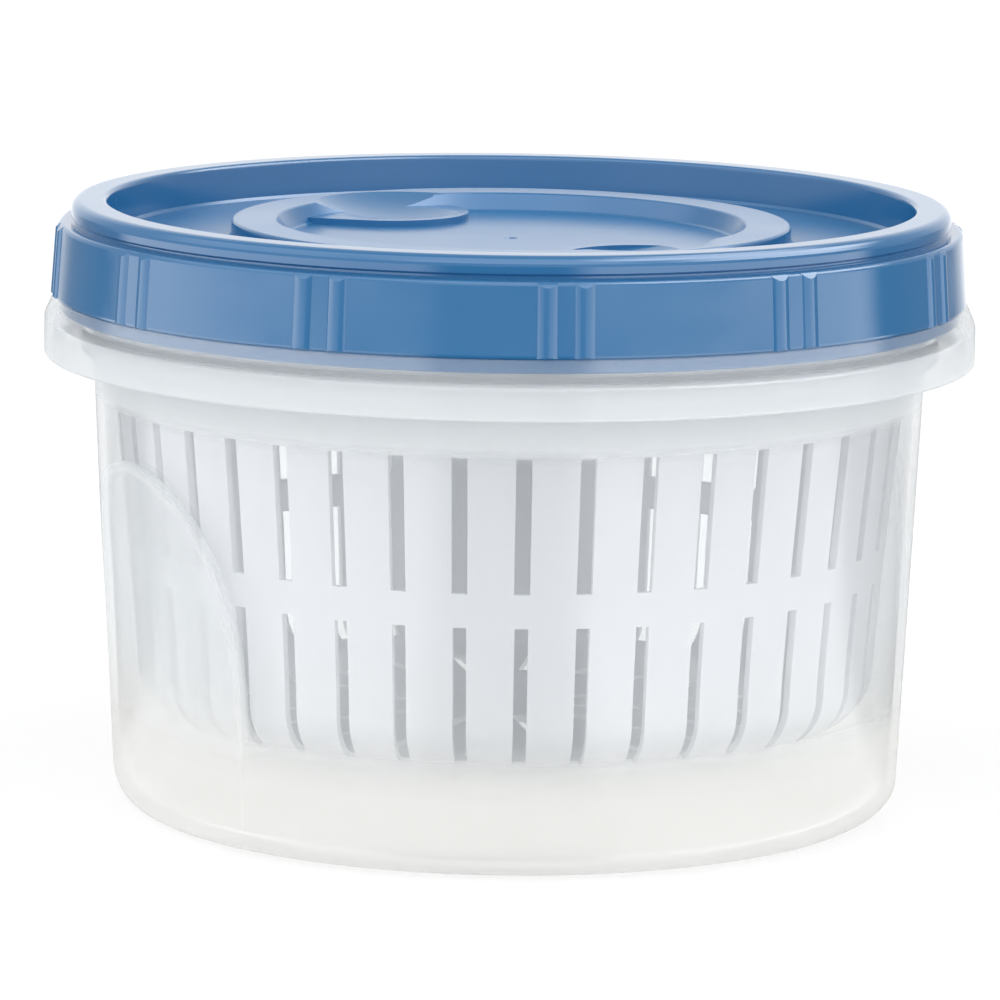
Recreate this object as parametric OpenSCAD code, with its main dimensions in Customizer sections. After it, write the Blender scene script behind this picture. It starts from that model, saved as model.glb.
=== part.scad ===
// Round food keeper with a screw lid: a tapered tub with two grip hollows, a slotted strainer
// basket that hangs inside it, a lid with a stacking rim and finger wells, and the lid's seal ring.
// Millimetres, +Z up. The tub stands on z = 0 and the grips are on +X and -X.

/* [Tub] */
// Outer radius of the tub's wall, carried down to the table
tub_r = 71.26; // [60:0.02:80]
// How much wider the wall gets for each millimetre of height
tub_flare = 0.047; // [0.02:0.001:0.08]
// Wall thickness of the tub
tub_wall = 1.5; // [1.2:0.1:2.5]
// Width of the rounded bottom corner
corner_w = 7.4; // [4:0.1:12]
// Height of the rounded bottom corner
corner_h = 6; // [4:0.1:12]
// Height of the tub's inside floor
floor_z = 2.4; // [2:0.1:4]
// Radius of the shallow recess under the floor
foot_r = 58; // [40:1:62]

/* [Grips] */
// Height of the top of each grip hollow
grip_top = 66; // [50:1:72]
// Depth of each grip hollow at the foot
grip_depth = 3.6; // [2:0.1:5]
// Distance of the grip's curve centre behind the tub's axis
grip_back = 66; // [40:1:120]

/* [Collar and neck] */
// How far the neck stands outside the wall below it
neck_step = 2.19; // [1.8:0.01:4]
// Height of the ledge that carries the basket
ledge_z = 84; // [83:0.1:87]
// Height of the collar's lower edge
collar_z = 82.3; // [80:0.1:83]
// Height where the collar's face ends and its sloped lip starts
slope_z = 89.2; // [88:0.1:90]
// Height of the top of the collar's lip
lip_z = 92.7; // [91.5:0.1:93.5]
// How far the collar stands outside the lid's skirt
collar_out = 1.64; // [1:0.02:4]
// Wall thickness of the collar
collar_wall = 1.6; // [1.2:0.1:2.5]

/* [Thread] */
// Rise of the lid in one full turn
lead = 16; // [10:1:20]
// How far the threads stand out of the neck
thread_out = 2.1; // [1.5:0.1:3]
// Turn covered by each of the four threads, in degrees
thread_turn = 66; // [50:1:66]
// Turn covered by each of the four lid lugs, in degrees
lug_turn = 20; // [10:1:20]
// Gap between a lug and the thread above it
thread_gap = 0.2; // [0.15:0.05:0.4]
// Gap between the thread's tip and the lid's skirt
thread_room = 0.6; // [0.4:0.1:1.5]

/* [Basket] */
// Wall thickness of the basket
basket_wall = 1.4; // [1.2:0.1:2.5]
// Height of the underside of the basket
basket_z = 16.5; // [10:0.5:30]
// Radius of the basket's rounded bottom corner
basket_corner = 10.5; // [6:0.5:14]
// Number of slots in each row
slots = 40; // [20:1:60]
// Turn of the first slot from +X, in degrees
slot_phase = 4.3; // [0:0.1:9]
// Width of the slots in the upper row
slot_w = 2.8; // [2:0.1:4]
// Width of the slots in the lower row
low_slot_w = 2.4; // [2:0.1:4]
// Number of drain slots in the outer ring of the basket's floor
floor_slots = 20; // [10:2:30]

/* [Lid] */
// Wall thickness of the lid
lid_wall = 1.5; // [1.2:0.1:2.5]
// Height of the skirt above its step
skirt_h = 13.1; // [12:0.1:18]
// How much wider the skirt is at its lower edge
skirt_flare = 0.86; // [0.2:0.02:2]
// Height of the stacking rim above the shoulder
rim_h = 4; // [3:0.1:7]
// Rounding of the rim's outer edge
rim_round = 1.8; // [0.6:0.1:2.2]
// Width of the channel for the seal
channel_w = 3.4; // [3:0.1:5]
// Depth of the outer floor below the shoulder
floor_drop = 2.9; // [2:0.1:4]
// Number of rib pairs on the skirt
rib_pairs = 12; // [6:1:24]
// Turn of the first rib pair from +X, in degrees
rib_phase = 11.7; // [0:0.1:30]
// Half of the angle between the two ribs of a pair
rib_spread = 2.25; // [1.6:0.05:4]
// Width of a rib
rib_w = 3.3; // [2:0.1:4]
// How far the ribs stand out
rib_out = 0.55; // [0.4:0.05:1.2]
// Outer radius of the raised ring on the lid
ring_r = 50.5; // [45:0.5:55]
// Width of the raised ring's top
ring_w = 8.2; // [6:0.1:12]
// Height of the raised ring
ring_h = 3.4; // [2.5:0.1:4]
// Outer radius of the raised lip round each finger well
lip_r = 15.3; // [13:0.1:18]
// Width of the lip's top where it is narrowest
lip_w = 2; // [1.5:0.1:3]
// Height of the lip above the lid's disc
lip_h = 1.1; // [0.8:0.1:1.6]
// Turn from a well's middle to the tail end of its lip, in degrees
lip_tail = 27; // [24:1:34]
// Turn of the first finger well from +X, in degrees
well_turn = -76.8; // [-180:0.1:180]

/* [Seal] */
// Height of the seal ring
seal_h = 1.45; // [1:0.05:3]
// Gap beside the seal ring in its channel
seal_gap = 0.4; // [0.3:0.05:0.8]

/* [Hidden] */
$fn = 120;
eps = 0.02;
neck_r = wall_r(ledge_z) + neck_step;
neck_in_r = neck_r - tub_wall;
thread_r = neck_r + thread_out;
skirt_in_r = thread_r + thread_room;
skirt_top_r = skirt_in_r + lid_wall - 0.1;
skirt_r = skirt_top_r + skirt_flare;
collar_r = skirt_r + collar_out;
trough_z = slope_z + 0.4;
step_z = lip_z + 0.2;
step_r = skirt_in_r + 1.1;
shoulder_z = step_z + skirt_h;
lid_top_z = shoulder_z + rim_h;
neck_top_z = shoulder_z + 0.7;
channel_r = neck_r + 0.4;
channel_in_r = channel_r - channel_w;
channel_top = lid_top_z - lid_wall - 0.1;
rim_r = channel_r + lid_wall;
rim_in_r = channel_in_r - lid_wall - 0.1;
floor_top = shoulder_z - floor_drop;
disc_top = floor_top + 0.15;
under_z = floor_top - lid_wall - 0.1;
ring_in_r = ring_r - ring_w;
ring_z = floor_top + ring_h;
well_at = ring_in_r - 4.8;
well_low = well_at - 5.5;
well_floor = disc_top - 0.5;
well_rise = ring_z - well_floor;
well_run = ring_r - 2 - well_low;
well_bend = (well_run * well_run + well_rise * well_rise) / (2 * well_rise);
tail_at = ring_in_r * [cos(lip_tail), sin(lip_tail)] - [well_at, 0];
tail_turn = atan2(tail_at[1], tail_at[0]) + acos(lip_r / norm(tail_at));
seal_in_r = channel_in_r + seal_gap;
seal_r = channel_r - seal_gap;
seal_z = neck_top_z + 0.1;
thread_z = step_z + 3.6;
thread_base = 1.2;
thread_tip = 0.7;
lug_r = neck_r + 0.6;
lug_root_r = skirt_in_r + 0.7;
flank = (thread_base - thread_tip) / thread_out;
lug_drop = thread_base + thread_tip - flank * (lug_r - neck_r) + thread_gap;
tilt = atan(1.03 * lead / (2 * PI * (neck_r + 1.1)));
grip_bands = 12;
high_slot = [ledge_z - 34, ledge_z - 10];
low_slot_top = ledge_z - 40;
corner_top = basket_z + basket_corner;
basket_top = under_z - 0.6;

function arc(cx, cz, r, from, to, n) = [
    for (i = [0:n]) [
        cx + r * cos(from + (to - from) * i / n),
        cz + r * sin(from + (to - from) * i / n)
    ]
];

function wall_r(z) = tub_r + tub_flare * z;

function bowl(inset, low, w, h) = [
    for (i = [0:5]) [
        wall_r(low + h) - inset - w * (1 - sin(18 * i)),
        low + h * (1 - cos(18 * i))
    ]
];

// the tub's outline: rounded corner, tapered wall, collar hung over the wall, threaded neck
module tub_outline() {
    rotate_extrude() polygon(concat(
        [[0, 0.8], [foot_r - 0.8, 0.8], [foot_r, 0]],
        bowl(0, 0, corner_w, corner_h),
        [
            [wall_r(ledge_z - 2.4), ledge_z - 2.4],
            [neck_r, ledge_z - 0.8],
            [neck_r, trough_z - collar_wall - 0.4],
            [neck_r + 0.4, trough_z - collar_wall],
            [collar_r - collar_wall - 1.2, trough_z - collar_wall],
            [collar_r - collar_wall, slope_z - collar_wall - 0.8],
            [collar_r - collar_wall, collar_z + 0.3],
            [collar_r - collar_wall + 0.3, collar_z],
            [collar_r - 0.5, collar_z],
            [collar_r - 0.15, collar_z + 0.15],
            [collar_r, collar_z + 0.5],
            [collar_r, slope_z - 0.3],
            [collar_r - 0.1, slope_z + 0.15],
            [collar_r - 1.35, lip_z - 0.5],
            [collar_r - 1.65, lip_z - 0.12],
            [collar_r - 1.95, lip_z],
            [step_r + 0.75, lip_z - 0.1],
            [step_r + 0.5, lip_z - 0.4],
            [step_r + 0.4, trough_z + 0.5],
            [step_r - 0.1, trough_z],
            [neck_r + 0.5, trough_z],
            [neck_r, trough_z + 0.5],
            [neck_r, neck_top_z - 0.5],
            [neck_r - 0.5, neck_top_z],
            [0, neck_top_z]
        ]
    ));
}

// the space inside the tub, with the ledge under the basket's rim
module tub_space() {
    rotate_extrude() polygon(concat(
        [[0, floor_z]],
        bowl(tub_wall, floor_z, corner_w, corner_h),
        [
            [wall_r(ledge_z) - tub_wall, ledge_z],
            [neck_in_r, ledge_z],
            [neck_in_r, neck_top_z - 0.4],
            [neck_in_r + 0.4, neck_top_z + eps],
            [neck_in_r + 0.4, neck_top_z + 1],
            [0, neck_top_z + 1]
        ]
    ));
}

function grip_x(z) = wall_r(z) - grip_depth * (1 - pow(max(z, 0) / grip_top, 3.9));

// what one grip hollow takes away: all that stands in front of its barrel-shaped face
module grip_front(inset) {
    difference() {
        translate([50, -45, -1])
            cube([40, 90, 71]);
        translate([-grip_back, 0, 0])
            rotate_extrude($fn = 240) polygon(concat(
                [[0, -2], [grip_x(0) + grip_back - inset, -2]],
                [
                    for (i = [0:grip_bands])
                        let (z = 70 * pow(i / grip_bands, 0.62))
                            [grip_x(z) + grip_back - inset, z]
                ],
                [[grip_x(74) + grip_back - inset, 74], [0, 74]]
            ));
    }
}

// one part-turn of thread, tilted so that it climbs like the helix it stands for
module climb(mid, mid_z, turn) {
    translate([0, 0, mid_z])
        rotate([0, 0, mid])
            rotate([tilt, 0, 0])
                rotate([0, 0, -turn / 2])
                    rotate_extrude(angle = turn)
                        children();
}

module container() {
    color([0.9, 0.93, 0.94, 0.45])
    union() {
        difference() {
            difference() {
                tub_outline();
                grip_front(0);
                rotate([0, 0, 180]) grip_front(0);
            }
            difference() {
                tub_space();
                grip_front(tub_wall);
                rotate([0, 0, 180]) grip_front(tub_wall);
            }
        }
        for (k = [0:3])
            climb(12 + 90 * k + thread_turn / 2, thread_z + lead * thread_turn / 720, thread_turn)
                polygon([
                    [neck_r - 0.6, -thread_base - 0.6 * flank],
                    [thread_r, -thread_tip],
                    [thread_r, thread_tip],
                    [neck_r - 0.6, thread_base + 0.6 * flank]
                ]);
    }
}

function basket_r(z) = wall_r(ledge_z) - 2.96 - 0.1 * (ledge_z - z) + 0.5 * exp((basket_z + 10 - z) / 9);

// the basket: rounded foot, flared wall and the ring that rests on the tub's ledge
module basket_shell() {
    corner_z = basket_z + basket_corner;
    corner_r = basket_r(corner_z) - basket_corner;
    low = corner_z + 5;
    rotate_extrude() polygon(concat(
        [[0, basket_z]],
        arc(corner_r, corner_z, basket_corner, -90, 0, 6),
        [for (i = [0:7]) let (z = low + (ledge_z - low) * i / 7) [basket_r(z), z]],
        [
            [neck_in_r - 0.4, ledge_z],
            [neck_in_r - 0.4, ledge_z + 1.1],
            [neck_in_r - 0.8, ledge_z + 1.5],
            [basket_r(ledge_z + 1.5) + 0.3, ledge_z + 1.5],
            [basket_r(ledge_z + 1.8), ledge_z + 1.8],
            [basket_r(basket_top), basket_top - 0.4],
            [basket_r(basket_top) - 0.4, basket_top],
            [basket_r(basket_top) - basket_wall + 0.3, basket_top],
            [basket_r(basket_top) - basket_wall, basket_top - 0.3]
        ],
        [for (i = [7:-1:0]) let (z = low + (ledge_z - low) * i / 7) [basket_r(z) - basket_wall, z]],
        arc(corner_r, corner_z, basket_corner - basket_wall, 0, -90, 6),
        [[0, basket_z + basket_wall]]
    ));
}

module strainer_basket() {
    color([0.95, 0.96, 0.97])
    difference() {
        basket_shell();
        for (i = [0:slots - 1])
            rotate([0, 0, slot_phase + 360 * i / slots]) {
                translate([basket_r(corner_top) - 3, -slot_w / 2, high_slot[0]])
                    cube([12, slot_w, high_slot[1] - high_slot[0]]);
                translate([basket_r(corner_top) - 5.5, -low_slot_w / 2, basket_z - 1])
                    cube([14, low_slot_w, low_slot_top - basket_z + 1]);
            }
        for (i = [0:floor_slots - 1])
            rotate([0, 0, slot_phase + 360 * i / floor_slots])
                translate([32, -low_slot_w / 2, basket_z - 1])
                    cube([18, low_slot_w, basket_wall + 2]);
        for (i = [0:floor_slots / 2 - 1])
            rotate([0, 0, slot_phase + 720 * i / floor_slots])
                translate([12, -low_slot_w / 2, basket_z - 1])
                    cube([14, low_slot_w, basket_wall + 2]);
    }
}

function skirt_at(z) = skirt_r - skirt_flare * (z - step_z) / (skirt_h - 0.8);

module lid_shell() {
    rotate_extrude() polygon(concat(
        [
            [0, under_z],
            [0, disc_top - 0.7],
            [0.7, disc_top - 0.7],
            [1.2, disc_top],
            [ring_in_r - 2.1, disc_top],
            [ring_in_r - 1.6, disc_top + 0.3]
        ],
        arc(ring_in_r + 0.6, ring_z - 0.8, 0.8, 140, 90, 3),
        arc(ring_r - 0.7, ring_z - 0.7, 0.7, 90, 0, 3),
        [[ring_r, floor_top + 0.5], [ring_r + 0.5, floor_top]],
        [[rim_in_r - 1.2, floor_top], [rim_in_r - 0.7, floor_top + 0.5]],
        arc(rim_in_r + 0.9, lid_top_z - 0.9, 0.9, 178, 90, 4),
        arc(rim_r - rim_round, lid_top_z - rim_round, rim_round, 90, 0, 6),
        [
            [rim_r, shoulder_z + 1],
            [rim_r - 0.4, shoulder_z + 0.6],
            [rim_r - 0.4, shoulder_z + 0.1],
            [rim_r - 0.1, shoulder_z]
        ],
        arc(skirt_top_r - 0.8, shoulder_z - 0.8, 0.8, 90, 4, 4),
        [
            [skirt_at(step_z + 0.5), step_z + 0.5],
            [skirt_r - 0.15, step_z + 0.12],
            [skirt_r - 0.5, step_z],
            [step_r, step_z],
            [step_r, trough_z + 0.9],
            [step_r - 0.3, trough_z + 0.6],
            [skirt_in_r + 0.2, trough_z + 0.6],
            [skirt_in_r, trough_z + 0.8],
            [skirt_in_r, shoulder_z - lid_wall - 0.5],
            [skirt_in_r - 0.4, shoulder_z - lid_wall - 0.1],
            [channel_r, shoulder_z - lid_wall - 0.1],
            [channel_r, channel_top],
            [channel_in_r, channel_top],
            [channel_in_r, under_z + 0.6],
            [channel_in_r - 0.6, under_z],
            [ring_r - 1.6, under_z],
            [ring_r - 2, under_z + 1.7],
            [ring_in_r + 1.9, under_z + 1.7],
            [ring_in_r + 1.1, under_z]
        ]
    ));
}

// half-round ribs, in pairs, from the step to the shoulder
module ribs() {
    rib_round = (rib_w * rib_w / 4 + rib_out * rib_out) / (2 * rib_out);
    lean = atan(skirt_flare / (skirt_h - 0.8));
    intersection() {
        for (k = [0:rib_pairs - 1], side = [-1, 1])
            rotate([0, 0, rib_phase + 360 * k / rib_pairs + side * rib_spread])
                translate([skirt_at(step_z) + rib_out - rib_round, 0, step_z])
                    rotate([0, -lean, 0])
                        translate([0, 0, -1])
                            cylinder(h = skirt_h + 2, r = rib_round, $fn = 48);
        rotate_extrude() polygon([
            [skirt_at(step_z + 0.1) - 0.9, step_z + 0.1],
            [skirt_at(step_z + 0.1) + rib_out - 0.3, step_z + 0.1],
            [skirt_at(step_z + 0.4) + rib_out + 0.1, step_z + 0.4],
            [skirt_at(shoulder_z - 1.2) + rib_out + 0.1, shoulder_z - 1.2],
            [skirt_top_r + rib_out - 0.4, shoulder_z - 0.5],
            [skirt_top_r - 0.2, shoulder_z - 0.15],
            [skirt_top_r - 0.8, shoulder_z - 0.15],
            [skirt_top_r - 0.8, shoulder_z - 1]
        ]);
    }
}

// plan of a finger well: a round end and, on one side, a straight edge that runs out to the ring
module well_plan(inset) {
    side = [cos(tail_turn), sin(tail_turn)];
    along = [sin(tail_turn), -cos(tail_turn)];
    tangent_at = [well_at, 0] + (lip_r - inset) * side;
    length = norm(tail_at) * sin(tail_turn - atan2(tail_at[1], tail_at[0]));
    translate([well_at, 0])
        circle(r = lip_r - inset);
    polygon([[well_at, 0], tangent_at, tangent_at + (length + 2) * along, [ring_in_r + 2, 0]]);
}

// the raised lip round a finger well, kept inside the raised ring
module lip() {
    intersection() {
        translate([0, 0, disc_top - 0.3])
            linear_extrude(lip_h + 0.3)
                well_plan(0);
        translate([0, 0, disc_top - 1])
            cylinder(h = 5, r = ring_in_r + 0.3);
    }
}

// the finger well: a steep wall at the lip and a dished floor that climbs out over the ring
module well() {
    intersection() {
        translate([well_low, 0, well_floor + well_bend])
            sphere(r = well_bend, $fn = 240);
        union() {
            translate([0, 0, disc_top - 1])
                linear_extrude(8)
                    well_plan(lip_w);
            translate([0, 0, disc_top - 1])
                difference() {
                    cylinder(h = 8, r = ring_r + 2);
                    cylinder(h = 20, r = ring_in_r, center = true);
                }
        }
    }
}

module lid() {
    color([0.3, 0.47, 0.65])
    difference() {
        union() {
            lid_shell();
            for (s = [0, 180])
                rotate([0, 0, well_turn + s]) lip();
            ribs();
            for (k = [0:3])
                climb(
                    12 + 90 * k + lug_turn / 2,
                    thread_z - lug_drop + lead * lug_turn / 720,
                    lug_turn
                )
                    polygon([
                        [lug_r, -thread_tip],
                        [lug_root_r, -thread_tip - flank * (lug_root_r - lug_r)],
                        [lug_root_r, thread_tip + flank * (lug_root_r - lug_r)],
                        [lug_r, thread_tip]
                    ]);
        }
        for (s = [0, 180])
            rotate([0, 0, well_turn + s]) well();
    }
}

module lid_seal() {
    color([0.93, 0.93, 0.92])
    rotate_extrude() polygon([
        [seal_in_r + 0.2, seal_z],
        [seal_r - 0.2, seal_z],
        [seal_r, seal_z + 0.2],
        [seal_r, seal_z + seal_h - 0.2],
        [seal_r - 0.2, seal_z + seal_h],
        [seal_in_r + 0.2, seal_z + seal_h],
        [seal_in_r, seal_z + seal_h - 0.2],
        [seal_in_r, seal_z + 0.2]
    ]);
}

container();
strainer_basket();
lid();
lid_seal();
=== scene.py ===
"""Looks for the round food keeper: clear tub, milky strainer basket, blue screw lid."""

import math

import bpy
import numpy as np
from mathutils import Matrix, Vector


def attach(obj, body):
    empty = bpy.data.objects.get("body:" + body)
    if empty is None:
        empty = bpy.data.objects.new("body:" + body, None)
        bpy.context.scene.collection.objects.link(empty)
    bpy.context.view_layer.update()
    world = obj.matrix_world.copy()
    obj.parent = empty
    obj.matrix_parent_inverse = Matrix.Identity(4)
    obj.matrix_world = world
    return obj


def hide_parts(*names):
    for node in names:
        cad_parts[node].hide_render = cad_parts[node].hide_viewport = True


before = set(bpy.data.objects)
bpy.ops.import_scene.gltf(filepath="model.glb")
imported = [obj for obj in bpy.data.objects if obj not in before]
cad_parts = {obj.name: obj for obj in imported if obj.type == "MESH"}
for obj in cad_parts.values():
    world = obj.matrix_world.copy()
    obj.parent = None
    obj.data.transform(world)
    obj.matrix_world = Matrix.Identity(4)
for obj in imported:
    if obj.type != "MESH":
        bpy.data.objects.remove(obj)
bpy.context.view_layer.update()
MM = 0.001

# the camera's turn from the front, rise and roll in degrees
CAMERA_TURN, CAMERA_RISE, CAMERA_ROLL = -25.0, 8.98, 0.81
# its distance from the point it is aimed round, and that point's height, in metres
CAMERA_AWAY, AIM_Z = 1.236, 0.0624

# sizes of the CAD part, in millimetres
WALL, FOOT_R, FLARE = 1.5, 71.26, 0.047
CORNER_W, CORNER_H, FLOOR_Z = 7.4, 6.0, 2.4
LEDGE, COLLAR_Z, SLOPE_Z, LIP_Z, TROUGH = 84.0, 82.3, 89.2, 92.7, 89.6
NECK, NECK_IN, COLLAR, STEP_R, NECK_TOP = 77.398, 75.898, 84.0, 81.2, 106.7
GRIP_TOP, GRIP_DEEP, GRIP_BACK, GRIP_CURVE = 66.0, 3.6, 66.0, 3.9
LEAD, THREADS, THREAD_TURN, THREAD_START = 16, 4, 66, 12
THREAD_Z, THREAD_OUT, THREAD_BASE, THREAD_TIP = 96.5, 2.1, 1.27, 0.7
# a tilted ring follows the helix at this radius best when it leans a little more steeply
THREAD_MID_R, EXTRA_LEAN = 78.5, 1.03
BASKET_Z, BASKET_TOP, BASKET_WALL, BASKET_CORNER = 16.5, 100.9, 1.4, 10.5
BASKET_GAP, BASKET_LEAN, SWELL, SWELL_Z, SWELL_FADE = 2.96, 0.1, 0.5, 26.5, 9
SLOTS, SLOT_PHASE, SLOT_HALF, LOW_SLOT_HALF = 40, 4.3, 1.4, 1.2
SLOT_FOOT, LOW_SLOT_TOP, HIGH_SLOT_LOW, HIGH_SLOT_TOP = 5.0, 44.0, 50.0, 74.0
# count, inner end and length of each ring of drain slots in the basket's floor
FLOOR_SLOTS = ((20, 32, 18), (10, 12, 14))

# a skin starts this far from the axis and is closed there by one small face
AXIS = 0.05
# points round the tub, and the width of the fillet at a grip's edge
TUB_TURNS, GRIP_FILLET = 432, 0.4
# the grips reach up to here and no nearer to the axis than this
PRESS_TOP, PRESS_R = 74, 50
# limits of the depth a grip presses a point in by, below zero outside the grip
GRIP_FAR, GRIP_NEAR = -3, 5
# how much milkier than the plain wall the foot, the wall under the collar and the collar are,
# and the heights between which the haze of one gives way to the next
FOOT_FROST, UPPER_FROST, COLLAR_FROST = 0.48, 0.46, 0.34
FOOT_END, UPPER_START, COLLAR_START, COLLAR_END = (13, 25), (74, 76.5), (80.5, 82), (88, 89.3)
# the tub and the basket mirror this share of the light that meets them head on
PLAIN_GLOSS = 0.04

# each light box: turn from the camera, height above the horizon, half its width
# and how far its edge fades, all in degrees, and then its strength
LOW_BOXES = (
    (-67, 0, 48, 5, 2.4),
    (-72, 0, 22, 18, 0.9),
    (59, 0, 41, 5, 3.1),
    (180, 0, 25, 15, 1.0),
)
HIGH_BOXES = (
    (-70, 24, 30, 28, 0.6),
    (60, 24, 30, 28, 0.55),
    (180, 16, 22, 20, 0.25),
    (0, 38, 38, 36, 0.5),
)
MIRROR_BOXES = (
    (88, 47, 29, 8, 7.5),
    (-80, 42, 26, 10, 1.2),
    (0, 48, 26, 12, 2.2),
    (180, 14, 26, 14, 0.22),
)
# strength of the room between the boxes, low down and high up
LOW_ROOM, HIGH_ROOM = 0.4, 0.84


def toward(turn, rise):
    """Unit direction, turned from the front and raised above the horizon by these degrees."""
    a, e = math.radians(turn), math.radians(rise)
    return (math.sin(a) * math.cos(e), -math.cos(a) * math.cos(e), math.sin(e))


def add_camera():
    """A long lens, a little above the lid, turned so that one grip faces left."""
    data = bpy.data.cameras.new("camera")
    cam = bpy.data.objects.new("camera", data)
    bpy.context.scene.collection.objects.link(cam)
    bpy.context.scene.camera = cam
    away = Vector(toward(CAMERA_TURN, CAMERA_RISE))
    cam.location = Vector((0, 0, AIM_Z)) + away * CAMERA_AWAY
    roll = Matrix.Rotation(math.radians(CAMERA_ROLL), 3, "Z")
    turn = (-away).to_track_quat("-Z", "Y").to_matrix() @ roll
    cam.rotation_euler = turn.to_euler()
    data.sensor_width = 36
    data.lens = 245.2
    data.shift_x = -0.0079
    data.shift_y = -0.0385
    data.clip_start, data.clip_end = 0.05, 30


class Nodes:
    """A short way to write a node tree: n("Type", socket=value or link)."""

    def __init__(self, tree):
        self.tree = tree
        tree.nodes.clear()

    def __call__(self, kind, out=0, props=None, **sockets):
        """Adds a node and gives its output. A socket is set by name, or as i0, i1 by its place."""
        node = self.tree.nodes.new("ShaderNode" + kind)
        for k, v in (props or {}).items():
            setattr(node, k, v)
        for k, v in sockets.items():
            key = int(k[1:]) if k[0] == "i" and k[1:].isdigit() else k.replace("_", " ")
            socket = node.inputs[key]
            if isinstance(v, bpy.types.NodeSocket):
                self.tree.links.new(v, socket)
            else:
                socket.default_value = v
        return node.outputs[out]

    def math(self, operation, *values):
        """Adds a Math node with its values in order."""
        places = {f"i{k}": v for k, v in enumerate(values)}
        return self("Math", props={"operation": operation}, **places)

    def ramp(self, value, start, end, low, high):
        """Goes from low to high while value goes from start to end, and stays level beyond."""
        return self("MapRange", i0=value, i1=start, i2=end, i3=low, i4=high)

    def mix(self, share, first, second):
        """Mixes two shaders, with this share of the second."""
        return self("MixShader", i0=share, i1=first, i2=second)

    def attribute(self, name):
        """Reads a value that goes with each point of the mesh."""
        return self("Attribute", out=2, props={"attribute_name": name})

    def done(self, shader, kind="OutputMaterial"):
        """Puts the shader on the tree's output."""
        node = self.tree.nodes.new("ShaderNode" + kind)
        self.tree.links.new(shader, node.inputs["Surface"])


def material(name):
    mat = bpy.data.materials.new(name)
    mat.use_nodes = True
    return mat, Nodes(mat.node_tree)


def lin(*levels):
    """A colour given as sRGB levels 0..255, made linear."""
    shares = [v / 255 for v in levels]
    return (*[c / 12.92 if c <= 0.04045 else ((c + 0.055) / 1.055) ** 2.4 for c in shares], 1)


def blue_plastic():
    """Glossy blue, satin inside the lid's rim, with a faint grain."""
    mat, n = material("blue_plastic")
    pos = n("TexCoord", "Object")
    cloud = n("TexNoise", Vector=pos, Scale=38.0, Detail=2.0, Roughness=0.5)
    grain = n("TexNoise", Vector=pos, Scale=2600.0, Detail=1.0)
    tone = n("MixRGB", Fac=cloud, Color1=lin(29, 95, 143), Color2=lin(35, 100, 149))
    flat = n("VectorMath", props={"operation": "MULTIPLY"}, i0=pos, i1=(1, 1, 0))
    radius = n("VectorMath", out=1, props={"operation": "LENGTH"}, i0=flat)
    satin = n.ramp(radius, 0.07, 0.073, 0.13, 0.0)
    rough = n.math("ADD", n.ramp(cloud, 0.3, 0.7, 0.09, 0.13), satin)
    bump = n("Bump", Strength=0.04, Distance=0.00006, Height=grain)
    n.done(n("BsdfPrincipled", Base_Color=tone, Roughness=rough, IOR=1.49, Normal=bump))
    return mat


def sheen(n):
    """Share of light mirrored by an outer surface: Schlick's curve, the plain gloss plus the rest
    of the way to 1 times the fifth power of the facing, and none where a ray leaves a wall."""
    facing = n("LayerWeight", out=1, Blend=0.5)
    share = n.ramp(n.math("POWER", facing, 5.0), 0.0, 1.0, PLAIN_GLOSS, 1.0)
    outside = n.math("SUBTRACT", 1.0, n("NewGeometry", out=6))
    return n.math("MULTIPLY", share, outside)


def milky_plastic():
    """White plastic that lets some light through."""
    mat, n = material("milky_plastic")
    pos = n("TexCoord", "Object")
    cloud = n("TexNoise", Vector=pos, Scale=30.0, Detail=2.0)
    tone = n("MixRGB", Fac=cloud, Color1=(0.89, 0.9, 0.915, 1), Color2=(0.93, 0.935, 0.945, 1))
    through = n("BsdfTranslucent", Color=(0.9, 0.905, 0.915, 1))
    both = n.mix(0.42, n("BsdfDiffuse", Color=tone), through)
    n.done(n.mix(sheen(n), both, n("BsdfGlossy", Roughness=0.3)))
    return mat


def clear_plastic():
    """Clear plastic with a milky haze. The mesh says how much more haze the foot, the collar and
    the grips have. Along the grips' edges, which are found by their depth and where that depth is
    near 0, a thin band of extra white haze is a painted highlight."""
    mat, n = material("clear_plastic")
    pos = n("TexCoord", "Object")
    cloud = n("TexNoise", Vector=pos, Scale=24.0, Detail=0.0)
    clear = n("BsdfTransparent", Color=(0.985, 0.99, 0.995, 1))
    warm = n.ramp(n("SeparateXYZ", out=2, i0=pos), 0.012, 0.04, 1.0, 0.0)
    cool_milk, warm_milk = (0.92, 0.942, 0.953, 1), (0.95, 0.946, 0.926, 1)
    milk = n("MixRGB", Fac=warm, Color1=cool_milk, Color2=warm_milk)
    haze = n.mix(0.5, n("BsdfDiffuse", Color=milk), n("BsdfTranslucent", Color=milk))
    depth = n.attribute("grip")
    inside = n.ramp(depth, 0.0, 0.3, 0.0, 0.33)
    # painted highlight: the edge value is a thin band of extra white haze where a grip's depth is
    # near 0.26, along its edge
    from_highlight_line = n.math("ABSOLUTE", n.math("SUBTRACT", depth, 0.26))
    edge = n.ramp(from_highlight_line, 0.04, 0.4, 0.5, 0.0)
    frosted_grip_and_highlight = n.math("MAXIMUM", inside, edge)
    # the mesh's haze, raised inside the grips and by the painted highlight along their edges
    frost = n.math("MAXIMUM", n.attribute("frost"), frosted_grip_and_highlight)
    amount = n.math("ADD", frost, n.ramp(cloud, 0.3, 0.7, 0.12, 0.15))
    body = n.mix(amount, clear, haze)
    n.done(n.mix(sheen(n), body, n("BsdfGlossy", Roughness=0.08)))
    return mat


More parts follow.
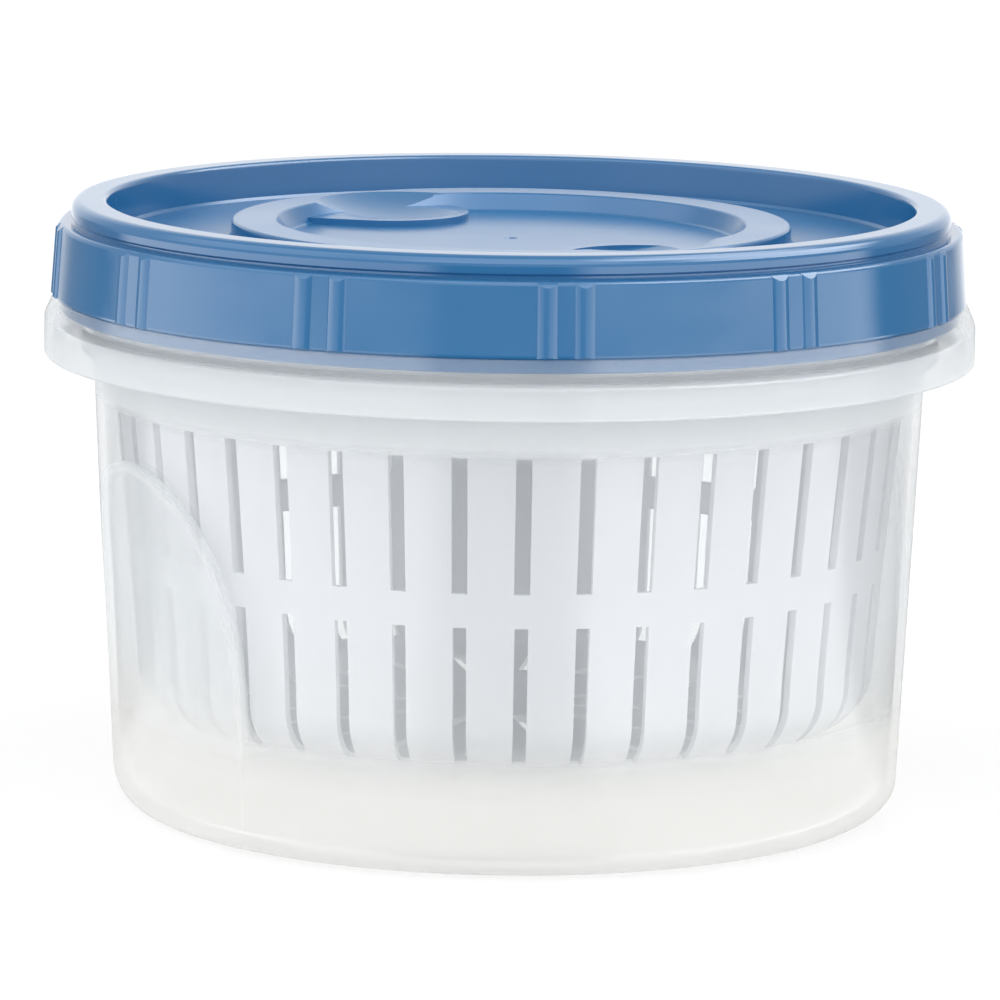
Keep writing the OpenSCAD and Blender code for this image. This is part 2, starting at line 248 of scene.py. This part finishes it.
def silicone():
    """Matt white rubber with a fine grain."""
    mat, n = material("silicone")
    grain = n("TexNoise", Vector=n("TexCoord", "Object"), Scale=900.0, Detail=2.0)
    bump = n("Bump", Strength=0.1, Distance=0.0001, Height=grain)
    white = (0.85, 0.85, 0.83, 1)
    n.done(n("BsdfPrincipled", Base_Color=white, Roughness=0.55, Normal=bump))
    return mat


def arc(cx, cz, r, start, end, n):
    """Points round (cx, cz) at radius r, from start to end degrees in n steps."""
    a = np.radians(np.linspace(start, end, n + 1))
    return [(cx + r * c, cz + r * s) for c, s in zip(np.cos(a), np.sin(a))]


def line(a, b, step):
    """Points from a up to but not b, no further apart than step."""
    n = max(1, int(math.ceil(math.dist(a, b) / step)))
    return [(a[0] + (b[0] - a[0]) * i / n, a[1] + (b[1] - a[1]) * i / n) for i in range(n)]


def held(points, near=0.12, long=1.7):
    """A profile with a point close to each end of its long runs, so that smooth shading
    keeps them flat."""
    out = [points[0]]
    for a, b in zip(points, points[1:]):
        d = math.dist(a, b)
        if d > long:
            for t in (near / d, 1 - near / d):
                out.append((a[0] + (b[0] - a[0]) * t, a[1] + (b[1] - a[1]) * t))
        out.append(b)
    return out


def smooth(low, high, v):
    """0 up to low, 1 from high on, and 3t^2 - 2t^3 on the way."""
    t = np.clip((v - low) / (high - low), 0, 1)
    return t * t * (3 - 2 * t)


def soft_min(a, b, k):
    """The smaller of a and b, with a quadratic fillet where they differ by less than k."""
    h = np.clip(0.5 + 0.5 * (b - a) / k, 0, 1)
    return b + (a - b) * h - k * h * (1 - h)


def wall_r(z):
    """Radius of the tub's wall outside: the foot's, plus the flare times the height."""
    return FOOT_R + FLARE * z


def grip_reach(z, turn, inset):
    """Distance from the tub's axis to the nearer grip's barrel face, at height z and angle turn.

    The face is part of a circle whose middle lies GRIP_BACK beyond the axis. At height z it is
    GRIP_DEEP x (1 - (z / GRIP_TOP)^GRIP_CURVE) short of the wall, so it ends at GRIP_TOP."""
    front = wall_r(z) - GRIP_DEEP * (1 - (np.maximum(z, 0) / GRIP_TOP) ** GRIP_CURVE)
    radius = front + GRIP_BACK - inset
    side = np.where(np.cos(turn) < 0, turn + np.pi, turn)
    return -GRIP_BACK * np.cos(side) + np.sqrt(radius**2 - (GRIP_BACK * np.sin(side)) ** 2)


def basket_r(z):
    """Radius of the basket's wall outside: BASKET_GAP less than the tub's wall at the ledge, less
    BASKET_LEAN for each millimetre below it, plus a swelling near the foot, which is SWELL at
    SWELL_Z and falls off exponentially over SWELL_FADE of height."""
    swell = SWELL * math.exp((SWELL_Z - z) / SWELL_FADE)
    return wall_r(LEDGE) - BASKET_GAP - BASKET_LEAN * (LEDGE - z) + swell


def mesh_object(name, verts, faces, body, node, attributes=None):
    """A smooth mesh that rides on a body and stands in for a CAD node."""
    me = bpy.data.meshes.new(name)
    me.from_pydata(verts, [], faces)
    me.polygons.foreach_set("use_smooth", [True] * len(me.polygons))
    for key, values in (attributes or {}).items():
        layer = me.attributes.new(key, "FLOAT", "POINT")
        layer.data.foreach_set("value", np.asarray(values, np.float32))
    me.update()
    ob = bpy.data.objects.new(name, me)
    bpy.context.scene.collection.objects.link(ob)
    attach(ob, body)
    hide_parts(node)
    return ob


def grid_faces(rows, columns):
    """Quads between neighbouring rows of points, each row closed on itself: an array
    (rows - 1, columns, 4) of the places of the points."""
    j, i = np.meshgrid(np.arange(rows - 1), np.arange(columns), indexing="ij")
    k = (i + 1) % columns
    here, above = j * columns, (j + 1) * columns
    return np.stack([here + i, here + k, above + k, above + i], -1)


def round_about(r, turn, z):
    """Points in metres at radius r, angle turn and height z."""
    return np.stack([r * np.cos(turn), r * np.sin(turn), z + 0 * turn], -1).reshape(-1, 3) * MM


def corner(inset, low):
    """The rounded corner between a floor at height low and the wall: a quarter of an ellipse."""
    r = wall_r(low + CORNER_H) - inset
    turns = np.radians(np.linspace(0, 90, 13))
    return [
        (r - CORNER_W * (1 - math.sin(a)), low + CORNER_H * (1 - math.cos(a))) for a in turns
    ]


def tub_outside():
    """Outline from the recess under the floor, up the wall, round the collar to the neck's top."""
    # the recess under the floor, with a rounded edge
    path = [(AXIS, 0.8), (57.2, 0.8)]
    path += arc(57.2, 0.4, 0.4, 90, 20, 3) + arc(58.4, 0.4, 0.4, 200, 270, 3)
    # the rounded foot, the wall and the step out to the neck
    top = (wall_r(81.0), 81.0)
    path += corner(0, 0)
    path += line(path[-1], top, 1.6)[1:] + [top]
    path += [(wall_r(81.6) + 0.1, 81.65), (NECK - 0.3, 83.0), (NECK, 83.3)]
    # inside the hollow collar, under its lower edge and up its face
    path += arc(NECK + 0.4, TROUGH - 2.0, 0.4, 180, 90, 3)
    path += arc(COLLAR - 2.4, TROUGH - 2.4, 0.8, 90, 0, 4)
    path += [(COLLAR - 1.6, COLLAR_Z + 0.3), (COLLAR - 1.5, COLLAR_Z + 0.08)]
    path += [(COLLAR - 1.3, COLLAR_Z)]
    path += arc(COLLAR - 0.5, COLLAR_Z + 0.5, 0.5, 270, 360, 4)
    # the collar's slope, its lip and the trough behind it, and the neck
    path += [(COLLAR, SLOPE_Z - 0.5), (COLLAR - 0.04, SLOPE_Z - 0.1)]
    path += [(COLLAR - 0.16, SLOPE_Z + 0.3), (COLLAR - 1.3, LIP_Z - 0.6)]
    path += [(COLLAR - 1.5, LIP_Z - 0.25), (COLLAR - 1.75, LIP_Z - 0.04), (COLLAR - 1.95, LIP_Z)]
    path += [(STEP_R + 0.7, LIP_Z - 0.06), (STEP_R + 0.52, LIP_Z - 0.3)]
    path += arc(STEP_R - 0.1, TROUGH + 0.5, 0.5, 0, -90, 4)
    path += arc(NECK + 0.5, TROUGH + 0.5, 0.5, 270, 180, 4)
    path += arc(NECK - 0.5, NECK_TOP - 0.5, 0.5, 0, 90, 4)
    return held(path)


def tub_inside():
    """Outline from the neck's top down the inside, over the ledge, to the middle of the floor."""
    in_r = wall_r(LEDGE) - WALL
    low = corner(WALL, FLOOR_Z)[::-1]
    path = arc(NECK_IN + 0.4, NECK_TOP - 0.4, 0.4, 90, 180, 3)
    path += [(NECK_IN, LEDGE + 0.3), (NECK_IN - 0.1, LEDGE + 0.08), (NECK_IN - 0.3, LEDGE)]
    path += [(in_r + 0.2, LEDGE), (in_r, LEDGE - 0.2)]
    path += line((wall_r(82.5) - WALL, 82.5), low[0], 1.6)
    path += low + [(AXIS, FLOOR_Z)]
    return held(path)


def thread_run(middle, middle_z, profile, n=24):
    """One part-turn thread: the closed profile turned about Z over THREAD_TURN degrees in n steps,
    leant by the thread's slope, turned to middle and lifted to middle_z, with a flat face over
    each end."""
    lean = math.atan(EXTRA_LEAN * LEAD / (2 * math.pi * THREAD_MID_R))
    turned = Matrix.Rotation(math.radians(middle), 3, "Z")
    place = np.array(turned @ Matrix.Rotation(lean, 3, "X"))
    a = np.radians(np.linspace(-THREAD_TURN / 2, THREAD_TURN / 2, n + 1))[:, None]
    r, z = np.array(profile).T
    ring = np.stack([r * np.cos(a), r * np.sin(a), z + 0 * a], -1)
    verts = (ring.reshape(-1, 3) @ place.T + (0, 0, middle_z)) * MM
    m = len(profile)
    faces = grid_faces(n + 1, m)[..., [0, 3, 2, 1]].reshape(-1, 4)
    ends = [tuple(range(m)), tuple(range(n * m + m - 1, n * m - 1, -1))]
    return verts, faces, ends


def build_tub():
    """The clear tub as one closed skin, round its outline and back down the inside.

    At each height and angle the radius is the outline's or the grip's reach, whichever is less,
    with a small fillet between them. Two values go with each point: how much milkier it is than
    the plain wall, and how far a grip presses it in."""
    turns = np.linspace(0, 2 * np.pi, TUB_TURNS, endpoint=False)
    radii, heights, depths = [], [], []
    for path, inset in ((tub_outside(), 0.0), (tub_inside(), WALL)):
        r, z = np.array(path).T[:, :, None] + 0 * turns
        reach = grip_reach(np.minimum(z, 70), turns, inset)
        gripped = (z < PRESS_TOP) & (r > PRESS_R)
        radii.append(np.where(gripped, soft_min(r, reach, GRIP_FILLET), r))
        heights.append(z)
        depths.append(np.where(gripped, np.clip(r - reach, GRIP_FAR, GRIP_NEAR), GRIP_FAR))
    radius, height = np.concatenate(radii), np.concatenate(heights)
    foot = FOOT_FROST * (1 - smooth(*FOOT_END, height))
    upper = UPPER_FROST * smooth(*UPPER_START, height) * (1 - smooth(*COLLAR_START, height))
    collar = COLLAR_FROST * smooth(*COLLAR_START, height) * (1 - smooth(*COLLAR_END, height))
    n, m = height.shape
    verts = round_about(radius, turns, height).tolist()
    faces = [tuple(f) for f in grid_faces(n, m).reshape(-1, 4)[:, ::-1].tolist()]
    faces += [tuple(range(m)), tuple((n - 1) * m + i for i in reversed(range(m)))]
    frost = (foot + upper + collar).reshape(-1).tolist()
    depth = np.concatenate(depths).reshape(-1).tolist()
    root, tip = NECK - 0.3, NECK + THREAD_OUT
    profile = [(root, -THREAD_BASE), (tip, -THREAD_TIP), (tip, THREAD_TIP), (root, THREAD_BASE)]
    for k in range(THREADS):
        middle = THREAD_START + 360 / THREADS * k + THREAD_TURN / 2
        v, f, ends = thread_run(middle, THREAD_Z + LEAD * THREAD_TURN / 720, profile)
        base = len(verts)
        verts += v.tolist()
        frost += [COLLAR_FROST] * len(v)
        depth += [GRIP_FAR] * len(v)
        faces += (f + base).tolist() + [tuple(base + i for i in end) for end in ends]
    return mesh_object("tub", verts, faces, "tub", "container", {"frost": frost, "grip": depth})


def basket_side(inset):
    """The basket's profile at this inset, from the floor's middle round the corner and up to the
    ledge. Each point has a kind, and a slot is open between two points of kind low or high. The
    low slots start in the corner, SLOT_FOOT further out than the middle of its curve."""
    corner_z = BASKET_Z + BASKET_CORNER
    corner_r = basket_r(corner_z) - BASKET_CORNER
    bend = BASKET_CORNER - inset
    slot_foot = math.degrees(math.acos(SLOT_FOOT / bend))
    rows = [((r, corner_z - bend), "floor") for r in (AXIS, corner_r)]
    rows += [(q, "floor") for q in arc(corner_r, corner_z, bend, -90, -slot_foot, 4)[1:-1]]
    rows += [(q, "low") for q in arc(corner_r, corner_z, bend, -slot_foot, 0, 10)]
    # the rows at the slots' ends are kept, and any others too close to them are left out
    kept = [40.0, LOW_SLOT_TOP, HIGH_SLOT_LOW, HIGH_SLOT_TOP]
    heights = sorted(set(np.round(np.linspace(corner_z + 3, LEDGE, 24), 3)) | set(kept))
    for z in heights:
        if z not in kept and min(abs(z - q) for q in kept) <= 0.6:
            continue
        in_high_slot = HIGH_SLOT_LOW <= z <= HIGH_SLOT_TOP
        kind = "low" if z <= LOW_SLOT_TOP else "high" if in_high_slot else "wall"
        rows.append(((basket_r(z) - inset, z), kind))
    return rows


def basket_rim():
    """Outline from the wall outside, round the ring that rests on the ledge, up over the top."""
    ring_r, top_r = NECK_IN - 0.4, basket_r(BASKET_TOP)
    path = [(ring_r - 0.15, LEDGE), (ring_r, LEDGE + 0.15), (ring_r, LEDGE + 1.1)]
    path += [(ring_r - 0.12, LEDGE + 1.38), (ring_r - 0.4, LEDGE + 1.5)]
    path += [(basket_r(LEDGE + 1.5) + 0.4, LEDGE + 1.5)]
    path += [(basket_r(LEDGE + 2) + 0.1, LEDGE + 1.65), (basket_r(LEDGE + 2.2), LEDGE + 2.1)]
    path += arc(top_r - 0.4, BASKET_TOP - 0.4, 0.4, 0, 90, 3)
    path += arc(top_r - BASKET_WALL + 0.3, BASKET_TOP - 0.3, 0.3, 90, 180, 3)
    return path


def build_basket():
    """The basket, turned round its axis in 40 like sectors of 9 degrees.

    Each sector has its slot's two straight sides as grid lines: they stand off the slot's middle
    by the arc sine of half the slot's width over the radius. Where the slot runs the skin is left
    out, and its sides and ends are closed between outside and inside."""
    out_rows, in_rows = basket_side(0.0), basket_side(BASKET_WALL)
    rim = held([out_rows[-1][0]] + basket_rim() + [in_rows[-1][0]])[1:-1]
    rows = out_rows + [(q, "wall") for q in rim] + in_rows[::-1]
    r, z = np.array([q for q, k in rows]).T[:, :, None]
    # 8 columns a sector: a slot's two sides and its middle, then 5 across the land
    offsets = [0, 0, 0, 2.0, 3.2, 4.5, 5.8, 7.0]
    sector = 360 / SLOTS * np.repeat(np.arange(SLOTS), len(offsets))
    middle = np.radians(SLOT_PHASE + sector + np.tile(offsets, SLOTS))
    edge = np.tile([-1, 0, 1, 0, 0, 0, 0, 0], SLOTS)
    at_slot = np.tile([True, True] + [False] * 6, SLOTS)
    half = np.where(z >= (LOW_SLOT_TOP + HIGH_SLOT_LOW) / 2, SLOT_HALF, LOW_SLOT_HALF)
    spread = np.where(r > 45, np.arcsin(np.minimum(half / r, 0.1)), 0.025)
    verts = round_about(r, middle + edge * spread, z)
    m, last = len(middle), len(rows) - 1

    kinds = np.array([k for q, k in rows])
    opened = (kinds[:-1] == kinds[1:]) & np.isin(kinds[:-1], ("low", "high"))
    skin = grid_faces(last + 1, m)[~(opened[:, None] & at_slot)]
    outer = opened & (np.arange(last) < len(out_rows) - 1)
    cut = np.flatnonzero(outer)[:, None]
    first, final = np.flatnonzero(edge == -1), np.flatnonzero(edge == 1)
    low, high = cut * m, (cut + 1) * m
    far_low, far_high = (last - cut) * m, (last - cut - 1) * m
    left = np.stack([low + first, high + first, far_high + first, far_low + first], -1)
    right = np.stack([low + final, far_low + final, far_high + final, high + final], -1)
    c = np.flatnonzero(at_slot)
    begin = np.flatnonzero(outer & ~np.roll(opened, 1))[:, None]
    end = np.flatnonzero(outer & ~np.roll(opened, -1))[:, None] + 1
    near, far = begin * m + c, (last - begin) * m + c
    low_end = np.stack([near, far, far + 1, near + 1], -1)
    near, far = end * m + c, (last - end) * m + c
    high_end = np.stack([near, near + 1, far + 1, far], -1)

    faces = [q.reshape(-1, 4) for q in (skin, left, right, low_end, high_end)]
    faces = np.concatenate(faces).tolist()
    faces += [tuple(range(m))[::-1], tuple(last * m + i for i in range(m))]
    ob = mesh_object("basket", verts, faces, "tub", "strainer_basket")
    cut_floor(ob)
    ob.data.set_sharp_from_angle(angle=math.radians(40))
    return ob


def cut_floor(basket):
    """Cuts the drain slots out of the basket's floor, each as wide as a low slot."""
    base = [(0, -1), (1, -1), (1, 1), (0, 1)]
    along, across, up = np.array([(x, y, z) for z in (-1, 1) for x, y in base], float).T
    sides = [(3, 2, 1, 0), (4, 5, 6, 7), (0, 1, 5, 4), (1, 2, 6, 5), (2, 3, 7, 6), (3, 0, 4, 7)]
    verts, faces = [], []
    for count, start, long in FLOOR_SLOTS:
        for k in range(count):
            a = math.radians(SLOT_PHASE + 360 * k / count)
            x, y = start + along * long, across * LOW_SLOT_HALF
            z = BASKET_Z + BASKET_WALL / 2 + up * 1.7
            turned = [x * math.cos(a) - y * math.sin(a), x * math.sin(a) + y * math.cos(a), z]
            faces += [tuple(len(verts) + i for i in q) for q in sides]
            verts += (np.stack(turned, -1) * MM).tolist()
    me = bpy.data.meshes.new("floor_cutter")
    me.from_pydata(verts, [], faces)
    cutter = bpy.data.objects.new("floor_cutter", me)
    bpy.context.scene.collection.objects.link(cutter)
    trim = basket.modifiers.new("trim", "BOOLEAN")
    trim.operation, trim.solver, trim.object = "DIFFERENCE", "EXACT", cutter
    ready = bpy.context.evaluated_depsgraph_get()
    done = bpy.data.meshes.new_from_object(basket.evaluated_get(ready))
    basket.modifiers.clear()
    basket.data = done
    bpy.data.objects.remove(cutter)


def studio(n, direction, room, boxes):
    """Light that comes from a direction: the room's, plus each round soft box's strength times
    a smooth step of the cosine of the angle to the box's middle."""
    total = room
    for turn, rise, half, fade, strength in boxes:
        middle = toward(turn + CAMERA_TURN, rise)
        dot = {"operation": "DOT_PRODUCT"}
        near = n("VectorMath", out=1, props=dot, i0=direction, i1=middle)
        start, full = math.cos(math.radians(half + fade)), math.cos(math.radians(half - fade))
        step = {"interpolation_type": "SMOOTHSTEP"}
        share = n("MapRange", props=step, i0=near, i1=start, i2=full)
        total = n.math("MULTIPLY_ADD", share, strength, total)
    return total


def add_floor():
    """A plain pale table that takes a shadow. Mirrored rays see the low light boxes there."""
    half, drop = 8.0, 0.0001
    me = bpy.data.meshes.new("floor")
    corners = [(-half, -half, 0), (half, -half, 0), (half, half, 0), (-half, half, 0)]
    me.from_pydata(corners, [], [(0, 1, 2, 3)])
    ob = bpy.data.objects.new("floor", me)
    ob.location.z = -drop
    bpy.context.scene.collection.objects.link(ob)
    mat, n = material("floor")
    pale = n("BsdfDiffuse", Color=(0.93, 0.93, 0.93, 1))
    table = n.mix(0.72, pale, n("Emission", Strength=1.0))
    away = n("VectorMath", props={"operation": "NORMALIZE"}, i0=n("NewGeometry", out=0))
    mirrored = n("Emission", Strength=studio(n, away, LOW_ROOM, LOW_BOXES))
    n.done(n.mix(n("LightPath", out=3), table, mirrored))
    mat.cycles.emission_sampling = "NONE"
    me.materials.append(mat)


def add_light():
    """The world: white to the camera, high light boxes to all other rays, and stronger ones
    that only mirrored rays see."""
    world = bpy.data.worlds.new("studio")
    bpy.context.scene.world = world
    world.use_nodes = True
    world.cycles.sampling_method = "NONE"
    n = Nodes(world.node_tree)
    away = n("TexCoord", out=0)
    room = studio(n, away, HIGH_ROOM, HIGH_BOXES)
    mirrored = studio(n, away, 0.0, MIRROR_BOXES)
    light = n.math("MULTIPLY_ADD", mirrored, n("LightPath", out=3), room)
    seen = n.ramp(n("LightPath", out=0), 0.0, 1.0, light, 1.0)
    n.done(n("Background", Color=(1, 1, 1, 1), Strength=seen), "OutputWorld")


add_camera()
looks = {
    "container": clear_plastic(),
    "strainer_basket": milky_plastic(),
    "lid": blue_plastic(),
    "lid_seal": silicone(),
}
for name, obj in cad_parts.items():
    obj.data.materials.clear()
    obj.data.materials.append(looks[name])
build_tub().data.materials.append(looks["container"])
build_basket().data.materials.append(looks["strainer_basket"])
add_floor()
add_light()
bpy.context.scene.view_settings.view_transform = "Standard"
